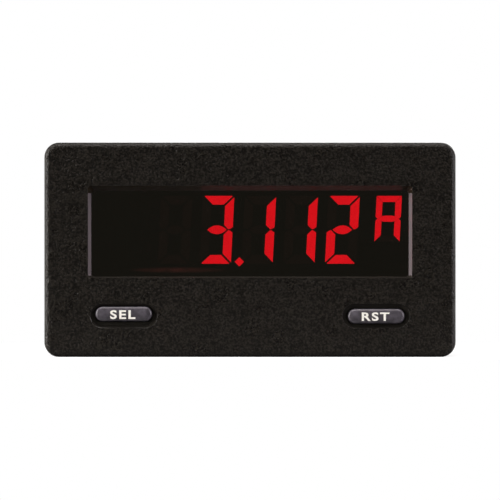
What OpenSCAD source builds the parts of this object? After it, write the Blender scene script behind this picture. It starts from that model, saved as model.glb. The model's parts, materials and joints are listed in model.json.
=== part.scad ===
// Digital panel meter with a five-digit backlit display, two front keys, rising-clamp
// screw terminals at the back and a slide-on mounting clip with two jack screws.
// Millimetres. The origin is the centre of the bezel's rear face, where the panel's front
// face comes. +X is to the right as seen from the front, +Y runs into the panel, +Z is up.

/* [Bezel] */
// Width of the bezel
bezel_w = 75; // [73:0.5:90]
// Height of the bezel
bezel_h = 39.1; // [38.5:0.1:50]
// Thickness of the bezel in front of the panel
bezel_t = 2.5; // [2.1:0.1:4]
// Radius of the bezel's corners
bezel_r = 2.7; // [1.6:0.1:4]
// Rounding of the bezel's front edge
bezel_edge = 1; // [0.4:0.1:1.4]

/* [Case] */
// How far the bezel covers the panel beside the shoulders
bezel_side = 3.75; // [3.2:0.05:4.5]
// How far the bezel covers the panel above and below the case
bezel_ends = 3.25; // [2.6:0.05:4]
// Step from the shoulders, which fill the panel's cut-out, to the case behind them
shoulder_step = 2; // [1:0.1:3]
// Length of the shoulders behind the panel's front face
shoulder_len = 9; // [6:0.5:9]
// Depth of the whole meter behind the panel's front face
depth = 44.5; // [41:0.5:56]
// Length of the rear cover behind the case
cover_len = 12.5; // [12.1:0.1:14]
// Thickness of the case and cover walls
wall = 1.8; // [1.2:0.1:2]
// Radius of the case's long edges
body_r = 1.5; // [1:0.1:3]

/* [Window] */
// Width of the bezel beside the window's opening
frame_side = 8.65; // [8.5:0.05:12]
// Height of the bezel above the window's opening
frame_top = 8.89; // [8.2:0.01:9.6]
// Height of the bezel below the window's opening
frame_bottom = 14.71; // [14.2:0.01:15.6]
// Width of the sloped frame at the window's sides
bevel_side = 0.75; // [0.3:0.05:1.2]
// Width of the sloped frame above the window
bevel_top = 1.04; // [0.3:0.01:1.5]
// Width of the sloped frame below the window
bevel_bottom = 0.3; // [0.1:0.05:1]
// Radius of the sloped frame's corners
bevel_r = 0.6; // [0.2:0.1:1.5]
// Thickness of the window pane
pane_t = 1.2; // [0.8:0.1:1.5]
// How far the pane reaches behind the bezel on each side
pane_lip = 0.85; // [0.5:0.05:1]

/* [Display] */
// What the five digits show, with blanks as spaces
reading = " 3112"; // [" 3112", "18888", "    0"]
// Number of the digit that the lit point follows
point_after = 2; // [1:1:4]
// What the small unit digit shows
unit_sign = "A"; // ["A", "C", "F", " "]
// Space between the digits and the lower edge of the opening
digits_below = 2.29; // [1:0.01:2.6]
// Space between the digits and the upper edge of the opening
digits_above = 0.81; // [0.6:0.01:2]
// Width of a digit, upright
digit_w = 5.72; // [4.5:0.01:6]
// Width of a segment
segment_w = 1.6; // [1:0.05:1.8]
// Gap between neighbouring segments, along a digit's edge
segment_gap = 0.25; // [0.1:0.05:0.4]
// Distance from digit to digit
digit_pitch = 7.64; // [7.5:0.01:8]
// Space between the last large digit and the right edge of the opening
digits_beside = 8.78; // [8.2:0.01:9.6]
// Lean of the digits
digit_lean = 3; // [0:1:10]
// Half the diagonal of the decimal point
point_r = 0.85; // [0.5:0.05:0.9]
// Height of the unit digit
unit_h = 8.35; // [6:0.05:9]
// Width of the unit digit, upright
unit_w = 4.6; // [3.5:0.05:4.8]
// Width of the unit digit's strokes
unit_stroke = 1.12; // [0.8:0.02:1.3]
// Gap between the last large digit and the unit digit
unit_gap = 2.65; // [2.5:0.05:3.2]
// Thickness of each display glass
glass_t = 1.1; // [0.7:0.1:1.2]
// How far the front glass reaches above the window's opening
glass_above = 3.49; // [2.5:0.01:3.6]
// How far the front glass reaches below the window's opening
glass_below = 2.01; // [2:0.01:2.4]
// Width of each contact ledge above and below the rear glass
glass_ledge = 2; // [1.8:0.1:2.2]
// Thickness of the image layer between the glasses
image_t = 0.2; // [0.1:0.05:0.3]
// Thickness of the light guide
guide_t = 2.5; // [2:0.1:3]

/* [Keys] */
// Width of a key
key_w = 10.26; // [8:0.1:11]
// Height of a key
key_h = 2.63; // [2.2:0.01:3]
// Distance of each key's centre from the bezel's side edge
key_beside = 14.5; // [14.3:0.1:16]
// Distance of the left key's centre from the bezel's lower edge
sel_key_above = 7.85; // [7.4:0.05:8.1]
// Distance of the right key's centre from the bezel's lower edge
rst_key_above = 7.45; // [7.4:0.05:8.1]
// How far a key stands proud of the bezel
key_proud = 0.4; // [0:0.1:1]
// Rounding of a key's front edge
key_edge = 0.35; // [0.1:0.05:0.6]
// Play around a key in its hole
key_play = 0.15; // [0.1:0.05:0.3]
// Travel of a key
key_travel = 0.4; // [0.2:0.05:0.5]
// Width of the dish around a key
dish_w = 12.4; // [11.5:0.1:13]
// Height of the dish around a key
dish_h = 4.5; // [4.2:0.05:5]
// Distance of the dishes' centres from the bezel's lower edge
dish_above = 7.5; // [7.35:0.05:7.75]
// Depth of the dish around a key
dish_depth = 0.5; // [0.2:0.1:0.8]

/* [Boards] */
// Thickness of the circuit boards
board_t = 1.6; // [1:0.1:1.6]
// Space between the main board and the case's inside, on each side
main_beside = 1.95; // [1.9:0.05:4]
// Distance of the main board's top face from the case's inner floor
main_above = 5.1; // [4.9:0.1:5.3]

/* [Terminals] */
// Number of terminals
poles = 6; // [2:1:6]
// Distance from terminal to terminal
pole_pitch = 5.08; // [5:0.01:5.2]
// Height of the terminal block
block_h = 12; // [11.4:0.1:13]
// Depth of the terminal block
block_d = 8.4; // [8:0.1:9]
// Radius of a wire entry
wire_r = 1.2; // [0.8:0.05:1.2]
// Outer width of a clamp
clamp_w = 3.8; // [3.5:0.05:3.85]
// Depth of a clamp along its wire
clamp_d = 3.6; // [3:0.1:3.8]
// Outer height of a clamp
clamp_h = 5.6; // [5.5:0.05:5.7]
// Travel of a clamp from open to closed
clamp_travel = 2; // [1:0.1:2]
// Radius of a terminal screw's shank
screw_r = 1.2; // [1:0.05:1.25]
// Radius of a terminal screw's head
screw_head_r = 1.7; // [1.5:0.05:1.75]

/* [Mounting] */
// Thickness of the panel gasket
gasket_t = 1; // [0.5:0.1:1.5]
// How far the clip stays inside the bezel's outline
clip_inset = 0.1; // [0:0.05:0.2]
// Depth of the clip's ring
clip_ring = 5; // [3:0.5:8]
// Depth of the clip's cheeks
clip_cheek = 14.5; // [14:0.5:18]
// Play between the clip and the case
clip_play = 0.2; // [0.15:0.05:0.4]
// Height of the latch fingers above and below the middle
latch_z = 9.5; // [8:0.1:10.5]
// Width of a latch finger
latch_w = 5; // [3:0.1:6]
// Distance from tooth to tooth on the case's racks
tooth_pitch = 1.5; // [1:0.1:2]
// Depth of the racks' teeth
tooth_depth = 0.7; // [0.3:0.1:0.8]
// Distance of each jack screw's axis from the clip's side face
jack_inset = 2.1; // [2:0.05:2.2]
// Radius of a jack screw's shank
jack_r = 1.25; // [1:0.05:1.3]
// Length of a jack screw's shank
jack_len = 22.6; // [22.6:0.1:26]
// Where a jack screw's tip rests, behind the panel's front face
jack_tip = 6; // [5.7:0.1:8]

/* [Hidden] */
$fn = 48;
// small overlap that joins pieces or lets a cut pass through a face
eps = 0.1;
// play of parts that are placed and stay, such as the pane in its rebate
fit = 0.1;
// radial play of a shaft that turns or slides in a hole
run_fit = 0.05;

// case
shoulder_w = bezel_w - 2 * bezel_side;
body_w = shoulder_w - 2 * shoulder_step;
body_h = bezel_h - 2 * bezel_ends;
case_len = depth - cover_len;
cavity_w = body_w - 2 * wall;
cavity_h = body_h - 2 * wall;
cavity_r = 0.5;
floor_z = -cavity_h / 2;

// window
opening_w = bezel_w - 2 * frame_side;
opening_h = bezel_h - frame_top - frame_bottom;
window_z = (frame_bottom - frame_top) / 2;
opening_bottom = window_z - opening_h / 2;

// the display stack, from front to back
glass_play = 0.35;
glass_w = cavity_w - 2 * glass_play;
glass_h = opening_h + glass_above + glass_below;
display_z = window_z + (glass_above - glass_below) / 2;
front_glass_y = 0.2;
image_y = front_glass_y + glass_t;
rear_glass_y = image_y + image_t;
guide_y = rear_glass_y + glass_t;
tray_floor_y = guide_y + guide_t;
tray_floor_t = 0.8;
display_board_y = tray_floor_y + tray_floor_t;
display_board_back = display_board_y + board_t;
rear_glass_h = glass_h - 2 * glass_ledge;
tray_wall = 0.5;
led_t = 1;
led_w = 3;
led_spread = 8;
guide_w = glass_w - 2 * (tray_wall + led_t + 2 * fit);
guide_h = rear_glass_h - 2 * (tray_wall + fit);

// digits: the middle bar's pointed ends, and the slanted inner ends of the upright bars
digit_count = 5;
digit_h = opening_h - digits_below - digits_above;
digits_bottom = opening_bottom + digits_below;
digits_right = opening_w / 2 - digits_beside;
digit_left = digits_right - digit_w - digit_h * tan(digit_lean);
unit_left = digits_right + unit_gap;
unit_bottom = digits_bottom + digit_h - unit_h;
LETTERS = "abcdefg";
SIGNS = [
    [" ", ""], ["0", "abcdef"], ["1", "bc"], ["2", "abdeg"], ["3", "abcdg"], ["4", "bcfg"],
    ["5", "acdfg"], ["6", "acdefg"], ["7", "abc"], ["8", "abcdefg"], ["9", "abcdfg"],
    ["A", "abcefg"], ["C", "adef"], ["F", "aefg"]
];

// keys and their switches
key_x = bezel_w / 2 - key_beside;
sel_key_z = sel_key_above - bezel_h / 2;
rst_key_z = rst_key_above - bezel_h / 2;
dish_z = dish_above - bezel_h / 2;
flange_w = key_w + 1.94;
flange_h = key_h + 1.57;
flange_t = 0.8;
stem_r = 1.2;
switch_w = 6;
switch_h = 3.6;
switch_y = display_board_y - 3;
plunger_r = 1;
plunger_y = switch_y - 0.7;
plunger_len = 1.7;

// posts that carry the display board
post_x = key_x - 10;
post_z = floor_z + 3.2;
post_r = 1.8;
post_pin_r = 0.9;
post_pin_len = board_t + 0.4;

// main board, its rails and what stands on it
main_w = cavity_w - 2 * main_beside;
main_z = floor_z + main_above;
main_back = depth - wall - fit - 0.1;
main_y = display_board_back + 0.6;
rail_t = 1.1;
rail_grip = 1;
rail_y = display_board_back + 0.5;
rail_play = 0.05;
lead_below = 1.4;
pin_w = 0.64;
pin_pitch = 2.54;
pin_hole = 0.9;
header_pins_count = 8;
header_w = header_pins_count * pin_pitch;
header_d = 2.5;
header_pin_z = main_z + 1.25;
header_drop_y = display_board_back + header_d + 1.2;
chip_y = header_drop_y + 5.2;
cap_r = 4;
cap_h = 11;
cap_x = main_w / 2 - cap_r - 3;
cap_spread = 10;
regulator_x = 2 * cap_spread - cap_x;
shunt_x = 13;
shunt_w = 12;
shunt_t = 1;
shunt_d = 3;
shunt_h = 6;
jumper_x = main_w / 2 - 5;
inductor_x = jumper_x - 8;
converter_x = inductor_x - 11;
microcontroller_x = -13;
jumper_y = 15;
jumper_pins_count = 3;

// terminal block
block_w = poles * pole_pitch + 1;
block_y = depth - block_d;
cap_y = block_y - wall - cap_r - 0.4;
shunt_y = block_y - 5.1;
block_wall = 1.6;
pocket_play = 0.15;
pocket_w = clamp_w + 2 * pocket_play;
pocket_d = clamp_d + 4 * pocket_play;
clamp_y = depth - block_wall - pocket_d / 2;
clamp_z = 0.8;
clamp_side = 0.55;
clamp_floor = 0.6;
clamp_top = 1;
contact_z = clamp_z + clamp_floor + 2 * wire_r + 0.1;
contact_t = 0.7;
contact_w = 2.2;
contact_foot = 0.8;
contact_y = block_y + 1.4;
tail_w = 1;
pocket_top = clamp_z + clamp_h + clamp_travel + 0.2;
ledge_t = 0.6;
head_z = pocket_top + ledge_t;
screw_head_t = 1.2;
slot_w = 0.5;
wire_z = main_z + clamp_z + clamp_floor + wire_r + 0.05;

// rear cover
step_z = main_z + block_h;
lip_len = 3;
lip_t = 1.2;
lip_play = 0.1;
collar_t = 1.5;
bay_play = 0.15;
bay_wall = 1.2;
snap_z = 3;
snap_w = 5;
snap_y = case_len - 2.1;
snap_len = 1;
vent_count = 9;
vent_pitch = 4;
vent_w = 1.4;
vent_h = 7;

// mounting clip, its latches and the racks on the case
clip_w = bezel_w - 2 * clip_inset;
clip_h = bezel_h - 2 * clip_inset;
clip_y = shoulder_len + 0.4;
clip_r = 2.2;
cheek_wrap = 4;
finger_t = 1.4;
finger_x = body_w / 2 + 0.85;
finger_gap = 0.6;
finger_front = clip_y + 3;
finger_len = clip_cheek - 5;
nose_len = 1.5;
nose_clear = 0.1;
rack_from = clip_y + 5;
tooth_count = floor((case_len - 2 - rack_from) / tooth_pitch);
tooth_land = 0.3;
jack_x = clip_w / 2 - jack_inset;
jack_head_r = 2.1;
jack_head_t = 1.6;
gasket_margin = 0.75;

// ---- helpers ----

// extrudes a shape drawn in X and Z from the depth y0 to the depth y1
module slab(y0, y1) {
    translate([0, y1, 0])
        rotate([90, 0, 0])
            linear_extrude(y1 - y0)
                children();
}

// extrudes a shape drawn in Y and Z from x0 to x1
module across(x0, x1) {
    translate([x0, 0, 0])
        rotate([90, 0, 90])
            linear_extrude(x1 - x0)
                children();
}

// a box given by its lowest and highest corner
module block(low, high) {
    translate(low)
        cube(high - low);
}

// a round bar along Y
module bar_y(r, y0, y1) {
    slab(y0, y1)
        circle(r);
}

module rounded_rect(w, h, r) {
    square([w, h - 2 * r], center = true);
    square([w - 2 * r, h], center = true);
    for (x = [-1, 1], y = [-1, 1])
        translate([x * (w / 2 - r), y * (h / 2 - r)])
            circle(r);
}

module frame_2d(w, h, r, inner_w, inner_h, inner_r) {
    difference() {
        rounded_rect(w, h, r);
        rounded_rect(inner_w, inner_h, inner_r);
    }
}

module pill(w, h) {
    square([w - h, h], center = true);
    for (x = [-1, 1])
        translate([x * (w - h) / 2, 0])
            circle(h / 2);
}

// section of a plate, with its two front corners rounded
module plate_section(w, t, edge) {
    translate([-w / 2, 0])
        square([w, t - edge]);
    translate([edge - w / 2, 0])
        square([w - 2 * edge, t]);
    for (x = [-1, 1])
        translate([x * (w / 2 - edge), t - edge])
            circle(edge);
}

// section of a shallow well: sloped sides under a straight mouth
module well_section(w, d, slope) {
    polygon([
        [-w / 2, eps], [-w / 2, 0], [slope - w / 2, -d],
        [w / 2 - slope, -d], [w / 2, 0], [w / 2, eps]
    ]);
}

module right_half() {
    intersection() {
        children();
        translate([0, -10])
            square([100, 20]);
    }
}

// sweeps a symmetric section round a pill outline whose height is the section's width
module sweep_pill(w, h) {
    rotate([90, 0, 90])
        linear_extrude(w - h, center = true)
            children();
    for (side = [0, 1])
        translate([(2 * side - 1) * (w - h) / 2, 0, 0])
            rotate([0, 0, 90 + 180 * side])
                rotate_extrude(angle = 180)
                    right_half()
                        children();
}

// a plate with round corners and a rounded front edge, its back on Z = 0
module soft_plate(w, h, r, t, edge) {
    rotate([90, 0, 0])
        linear_extrude(h - 2 * r, center = true)
            plate_section(w, t, edge);
    rotate([90, 0, 90])
        linear_extrude(w - 2 * r, center = true)
            plate_section(h, t, edge);
    for (turn = [0 : 3])
        translate([
            (turn == 0 || turn == 3 ? 1 : -1) * (w / 2 - r),
            (turn < 2 ? 1 : -1) * (h / 2 - r),
            0
        ])
            rotate([0, 0, 90 * turn])
                rotate_extrude(angle = 90)
                    right_half()
                        plate_section(2 * r, t, edge);
}

// turns a shape that stands on Z = 0 so that it faces the front from the depth y
module facing_front(y) {
    translate([0, y, 0])
        rotate([90, 0, 0])
            children();
}

module at_key(side, z) {
    translate([side * key_x, 0, z])
        children();
}

function pole_x(i) = (i - (poles + 1) / 2) * pole_pitch;

module at_pole(i) {
    translate([pole_x(i), clamp_y, main_z])
        children();
}

// ---- digits ----

// the digits lean to the right from their base line
function lean(points) = [for (p = points) [p[0] + p[1] * tan(digit_lean), p[1]]];

// outline of one segment of an upright digit: w and h are the digit's width and height,
// s the segment's width, k the gap at the corners, and tip the middle bar's inset
function upright_bar(w, h, s, k) = [
    [w, h - k], [w, 0.54 * h], [w - 0.3 * s, 0.5 * h + 0.6 * k],
    [w - 0.5 * s, 0.5 * h + 0.3 * k], [w - s, 0.57 * h], [w - s, h - s - k]
];
function top_bar(w, h, s, k) = [
    [1.2 * k, h - 0.3 * k], [2 * k, h], [w - 2 * k, h],
    [w - 1.2 * k, h - 0.3 * k], [w - k - s, h - s], [k + s, h - s]
];
// its bow rounds the ends off: 2 for a lens, and more for a straight bar
function middle_bar(w, h, s, tip, bow) = [
    for (side = [1, -1])
        for (along = [-1 : 0.2 : 0.8])
            [
                w / 2 + side * along * (w / 2 - tip),
                (h + side * s * (1 - pow(abs(along), bow))) / 2
            ]
];
function flip_x(points, w) = [for (p = points) [w - p[0], p[1]]];
function flip_y(points, h) = [for (p = points) [p[0], h - p[1]]];

function segment(letter, w, h, s, k, tip, bow) =
    letter == "a" ? top_bar(w, h, s, k) :
    letter == "b" ? upright_bar(w, h, s, k) :
    letter == "c" ? flip_y(upright_bar(w, h, s, k), h) :
    letter == "d" ? flip_y(top_bar(w, h, s, k), h) :
    letter == "e" ? flip_x(flip_y(upright_bar(w, h, s, k), h), w) :
    letter == "f" ? flip_x(upright_bar(w, h, s, k), w) :
    middle_bar(w, h, s, tip, bow);

function letters_of(sign) = SIGNS[search([sign], SIGNS)[0]][1];
function has_letter(letters, letter) = len(search(letter, letters)) > 0;

// the lit or the dark segments of one digit
module digit(sign, lit, w, h, s, k, tip, bow) {
    for (letter = LETTERS)
        if (has_letter(letters_of(sign), letter) == lit)
            polygon(lean(segment(letter, w, h, s, k, tip, bow)));
}

module large_digit(i, lit) {
    translate([digit_left - (digit_count - i) * digit_pitch, digits_bottom])
        digit(reading[i - 1], lit, digit_w, digit_h, segment_w, segment_gap, 0.68 * segment_w, 2.2);
}

module unit_digit(lit) {
    translate([unit_left, unit_bottom])
        digit(unit_sign, lit, unit_w, unit_h, unit_stroke, 0.04, 0.38 * unit_stroke, 4);
}

module decimal_point(r) {
    translate([
        digit_left - (digit_count - point_after) * digit_pitch + digit_w + 1.55,
        digits_bottom + 0.35
    ])
        rotate(45)
            square(r * sqrt(2), center = true);
}

module lit_2d() {
    for (i = [1 : digit_count])
        large_digit(i, true);
    unit_digit(true);
    decimal_point(point_r);
}

module dark_2d() {
    difference() {
        union() {
            for (i = [1 : digit_count])
                large_digit(i, false);
            unit_digit(false);
        }
        decimal_point(point_r + segment_gap);
    }
}

// ---- case ----

module window_recess() {
    hull() {
        slab(-bezel_t - eps, -bezel_t)
            translate([0, window_z + (bevel_top - bevel_bottom) / 2])
                rounded_rect(
                    opening_w + 2 * bevel_side,
                    opening_h + bevel_top + bevel_bottom,
                    bevel_r
                );
        slab(-pane_t - 0.01, -pane_t)
            translate([0, window_z])
                rounded_rect(opening_w, opening_h, bevel_r);
    }
    slab(-pane_t - eps, eps)
        translate([0, window_z])
            square([opening_w + 2 * (pane_lip + fit), opening_h + 2 * (pane_lip + fit)], center = true);
}

module key_hole() {
    slab(-bezel_t - eps, eps)
        pill(key_w + 2 * key_play, key_h + 2 * key_play);
}

module key_dish() {
    facing_front(-bezel_t)
        sweep_pill(dish_w, dish_h)
            well_section(dish_h, dish_depth, 0.6);
}

// sawtooth valleys in one side of the case: a slope towards the panel, a step behind
module rack(side) {
    face = body_w / 2;
    mirror([side < 0 ? 1 : 0, 0, 0])
        for (z = [-latch_z, latch_z])
            translate([0, 0, z - latch_w / 2 - 0.3])
                linear_extrude(latch_w + 0.6)
                    for (i = [0 : tooth_count - 1])
                        translate([face, rack_from + i * tooth_pitch])
                            polygon([
                                [eps, 0], [0, 0],
                                [-tooth_depth, tooth_pitch - tooth_land], [eps, tooth_pitch - tooth_land]
                            ]);
}

module snap_slots() {
    for (side = [-1, 1])
        translate([side * (body_w - wall) / 2, snap_y + snap_len / 2, snap_z])
            cube([wall + 1, snap_len + 0.4, snap_w + 0.4], center = true);
}

// two ribs on each side hold the main board's edges
module board_rails() {
    for (side = [-1, 1])
        mirror([side < 0 ? 1 : 0, 0, 0]) {
            block(
                [main_w / 2 - rail_grip, rail_y, main_z + rail_play],
                [cavity_w / 2 + eps, case_len - lip_len - 0.5, main_z + rail_play + rail_t]
            );
            block(
                [main_w / 2 - rail_grip, rail_y, main_z - board_t - rail_play - rail_t],
                [cavity_w / 2 + eps, case_len - lip_len - 0.5, main_z - board_t - rail_play]
            );
        }
}

module board_posts() {
    for (side = [-1, 1])
        translate([side * post_x, 0, post_z]) {
            bar_y(post_r, -eps, display_board_y);
            bar_y(post_pin_r, display_board_y - eps, display_board_y + post_pin_len);
        }
}

// a shelf under the front glass
module glass_shelf() {
    shelf_z = display_z - glass_h / 2 - 0.15;
    block([-glass_w / 2 + 1, -eps, shelf_z - 1], [glass_w / 2 - 1, image_y, shelf_z]);
}

module case() {
    color("#1f1d1b") {
        difference() {
            union() {
                facing_front(0)
                    soft_plate(bezel_w, bezel_h, bezel_r, bezel_t, bezel_edge);
                slab(-eps, shoulder_len)
                    rounded_rect(shoulder_w, body_h, body_r);
                slab(-eps, case_len)
                    rounded_rect(body_w, body_h, body_r);
            }
            slab(0, case_len + eps)
                rounded_rect(cavity_w, cavity_h, cavity_r);
            window_recess();
            at_key(-1, sel_key_z)
                key_hole();
            at_key(1, rst_key_z)
                key_hole();
            for (side = [-1, 1])
                at_key(side, dish_z)
                    key_dish();
            rack(-1);
            rack(1);
            snap_slots();
        }
        board_rails();
        board_posts();
        glass_shelf();
    }
}

// ---- display ----

module window() {
    color("#2a0f10", 0.6)
        slab(-pane_t, 0)
            translate([0, window_z])
                square([opening_w + 2 * pane_lip, opening_h + 2 * pane_lip], center = true);
}

module lcd_front_glass() {
    color("#5a6260", 0.4)
        slab(front_glass_y, image_y)
            translate([0, display_z])
                square([glass_w, glass_h], center = true);
}

module lcd_mask() {
    color("#141213")
        slab(image_y, rear_glass_y)
            difference() {
                translate([0, display_z])
                    square([glass_w, rear_glass_h], center = true);
                lit_2d();
                dark_2d();
            }
}

module lcd_lit_segments() {
    color("#e61419")
        slab(image_y, rear_glass_y)
            lit_2d();
}

module lcd_dark_segments() {
    color("#1a1617")
        slab(image_y, rear_glass_y)
            dark_2d();
}

module lcd_rear_glass() {
    color("#5a6260", 0.4)
        slab(rear_glass_y, guide_y)
            translate([0, display_z])
                square([glass_w, rear_glass_h], center = true);
}

// elastomer strips between the glass's ledges and the display board
module lcd_contact_strips() {
    color("#8a6a72")
        for (side = [-1, 1])
            slab(image_y, display_board_y)
                translate([0, display_z + side * (glass_h - glass_ledge) / 2])
                    square([glass_w - 2, glass_ledge - 0.4], center = true);
}

module light_guide() {
    color("#f0d8d8", 0.7)
        slab(guide_y, tray_floor_y)
            translate([0, display_z])
                square([guide_w, guide_h], center = true);
}

module led_places() {
    for (side = [-1, 1], up = [-1, 1])
        translate([
            side * (glass_w / 2 - tray_wall - fit - led_t / 2),
            display_z + up * led_spread / 2
        ])
            children();
}

module backlight_tray() {
    color("#e8e6e0")
        difference() {
            slab(guide_y, display_board_y)
                translate([0, display_z])
                    square([glass_w, rear_glass_h], center = true);
            slab(guide_y - eps, tray_floor_y)
                translate([0, display_z])
                    square([glass_w - 2 * tray_wall, rear_glass_h - 2 * tray_wall], center = true);
            slab(tray_floor_y - eps, display_board_y + eps)
                led_places()
                    square([led_t + 2 * fit, led_w + 2 * fit], center = true);
        }
}

module backlight_leds() {
    color("#d8473c")
        slab(guide_y + 0.6, display_board_y)
            led_places()
                square([led_t, led_w], center = true);
}

// ---- display board and keys ----

module header_pin_places() {
    for (i = [1 : header_pins_count])
        translate([(i - (header_pins_count + 1) / 2) * pin_pitch, 0, 0])
            children();
}

module display_board() {
    color("#1f5a38")
        difference() {
            slab(display_board_y, display_board_back)
                square([glass_w, cavity_h - 2 * fit - 0.4], center = true);
            for (side = [-1, 1])
                translate([side * post_x, 0, post_z])
                    bar_y(post_pin_r + fit, display_board_y - eps, display_board_back + eps);
            slab(display_board_y - eps, display_board_back + eps)
                for (i = [1 : header_pins_count])
                    translate([(i - (header_pins_count + 1) / 2) * pin_pitch, header_pin_z])
                        square(pin_hole, center = true);
        }
}

// a tactile switch's body, open at the front for its plunger
module switch_body() {
    color("#2b2b2e")
        difference() {
            slab(switch_y, display_board_y)
                square([switch_w, switch_h], center = true);
            bar_y(plunger_r + run_fit, switch_y - eps, plunger_y + plunger_len + key_travel + 0.2);
        }
}

module switch_plunger() {
    color("#b9b4a8")
        bar_y(plunger_r, plunger_y, plunger_y + plunger_len);
}

module key_button() {
    color("#4b464c") {
        facing_front(-dish_depth)
            sweep_pill(key_w, key_h)
                plate_section(key_h, bezel_t + key_proud - dish_depth, key_edge);
        slab(-dish_depth - eps, flange_t)
            pill(key_w, key_h);
        slab(0, flange_t)
            pill(flange_w, flange_h);
        bar_y(stem_r, flange_t - eps, plunger_y);
    }
}

// ---- main board and what stands on it ----

module board_header() {
    color("#202024")
        difference() {
            block(
                [-header_w / 2, display_board_back, main_z],
                [header_w / 2, display_board_back + header_d, main_z + 2.5]
            );
            header_pin_places()
                translate([0, display_board_back, header_pin_z])
                    cube([pin_w, 3 * header_d, pin_w], center = true);
        }
}

module header_pins() {
    half = pin_w / 2;
    color("#c9a544")
        header_pin_places()
            across(-half, half)
                polygon([
                    [display_board_y - 0.9, header_pin_z - half],
                    [header_drop_y - half, header_pin_z - half],
                    [header_drop_y - half, main_z - board_t - lead_below],
                    [header_drop_y + half, main_z - board_t - lead_below],
                    [header_drop_y + half, header_pin_z + half],
                    [display_board_y - 0.9, header_pin_z + half]
                ]);
}

module jumper_pin_places() {
    for (i = [1 : jumper_pins_count])
        translate([jumper_x, jumper_y + (i - (jumper_pins_count + 1) / 2) * pin_pitch, 0])
            children();
}

module main_board() {
    hole_z = main_z - board_t / 2;
    color("#1f5a38")
        difference() {
            block([-main_w / 2, main_y, main_z - board_t], [main_w / 2, main_back, main_z]);
            header_pin_places()
                translate([0, header_drop_y, hole_z])
                    cube([pin_hole, pin_hole, board_t + 1], center = true);
            jumper_pin_places()
                translate([0, 0, hole_z])
                    cube([pin_hole, pin_hole, board_t + 1], center = true);
            for (side = [-1, 1])
                translate([shunt_x + side * (shunt_w - shunt_t) / 2, shunt_y, hole_z])
                    cube([shunt_t + 0.3, shunt_d + 0.3, board_t + 1], center = true);
            for (i = [1 : poles])
                translate([pole_x(i), contact_y + contact_foot / 2, hole_z])
                    cube([tail_w + 0.3, contact_foot + 0.3, board_t + 1], center = true);
        }
}

// a flat chip with gull-wing leads along two or four sides
module chip(size_x, size_y, height, lead_pitch, per_x, per_y) {
    foot = 0.15;
    translate([-size_x / 2, -size_y / 2, 0.1])
        cube([size_x, size_y, height]);
    for (turn = [0, 180])
        rotate([0, 0, turn])
            for (i = [1 : per_x])
                translate([(i - (per_x + 1) / 2) * lead_pitch, 0, 0])
                    across(-0.17, 0.17)
                        chip_lead(size_y / 2, height / 2, foot);
    for (turn = [90, 270])
        rotate([0, 0, turn])
            for (i = [1 : 1 : per_y])
                translate([(i - (per_y + 1) / 2) * lead_pitch, 0, 0])
                    across(-0.17, 0.17)
                        chip_lead(size_x / 2, height / 2, foot);
}

module chip_lead(from, rise, foot) {
    polygon([
        [from - eps, rise], [from + 0.5, rise], [from + 0.7, foot], [from + 1.2, foot],
        [from + 1.2, 0], [from + 0.55, 0], [from + 0.35, rise - foot], [from - eps, rise - foot]
    ]);
}

module microcontroller() {
    color("#232326")
        translate([microcontroller_x, chip_y, main_z])
            chip(7, 7, 1.4, 0.8, 8, 8);
}

module converter() {
    color("#232326")
        translate([converter_x, chip_y, main_z])
            chip(10.3, 5.3, 1.5, 1.27, 8, 0);
}

// radial capacitors with a rolled groove near the base
module capacitors() {
    color("#33408a")
        for (x = [-cap_x, cap_spread - cap_x])
            translate([x, cap_y, main_z])
                rotate_extrude()
                    polygon([
                        [0, 0], [cap_r, 0], [cap_r, 1.2], [cap_r - 0.3, 1.6], [cap_r, 2],
                        [cap_r, cap_h - 0.4], [cap_r - 0.4, cap_h], [0, cap_h]
                    ]);
}

module regulator() {
    color("#2a2a2c")
        translate([regulator_x, shunt_y, main_z]) {
            block([-3.3, -3, 0.1], [3.3, 3, 2.3]);
            block([-2.7, 2.9, 0.1], [2.7, 4.1, 0.6]);
            for (x = [-2.28, 2.28])
                block([x - 0.4, -5.4, 0], [x + 0.4, -2.9, 0.6]);
        }
}

// a drum core inductor with its winding between two flanges
module inductor() {
    color("#4a3a30")
        translate([inductor_x, chip_y, main_z])
            rotate_extrude()
                polygon([
                    [0, 0], [3.9, 0], [3.9, 0.9], [3.3, 1.2], [3.3, 4.2], [3.9, 4.5], [3.9, 5.2], [0, 5.2]
                ]);
}

// a bent metal strap, through which the measured current flows
module shunt_resistor() {
    low = main_z - board_t - lead_below;
    high = main_z + shunt_h;
    outer = shunt_w / 2;
    inner = outer - shunt_t;
    color("#b58b62")
        slab(shunt_y - shunt_d / 2, shunt_y + shunt_d / 2)
            translate([shunt_x, 0])
                polygon([
                    [-outer, low], [-inner, low], [-inner, high - shunt_t], [inner, high - shunt_t],
                    [inner, low], [outer, low], [outer, high - 1], [outer - 1, high],
                    [1 - outer, high], [-outer, high - 1]
                ]);
}

module range_pins() {
    color("#c9a544")
        jumper_pin_places()
            translate([0, 0, main_z])
                block(
                    [-pin_w / 2, -pin_w / 2, -board_t - lead_below],
                    [pin_w / 2, pin_w / 2, 8]
                );
}

// the base of the pins and the jumper that sits on two of them
module range_jumper() {
    half = jumper_pins_count * pin_pitch / 2;
    color("#2b55a0")
        difference() {
            union() {
                block(
                    [jumper_x - 1.25, jumper_y - half, main_z],
                    [jumper_x + 1.25, jumper_y + half, main_z + 2.5]
                );
                block(
                    [jumper_x - 1.2, jumper_y - half + 0.1, main_z + 2.5],
                    [jumper_x + 1.2, jumper_y + half - pin_pitch - 0.1, main_z + 8.6]
                );
            }
            jumper_pin_places()
                translate([0, 0, main_z + 4])
                    cube([pin_w, pin_w, 8.04], center = true);
        }
}

// ---- terminals ----

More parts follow.
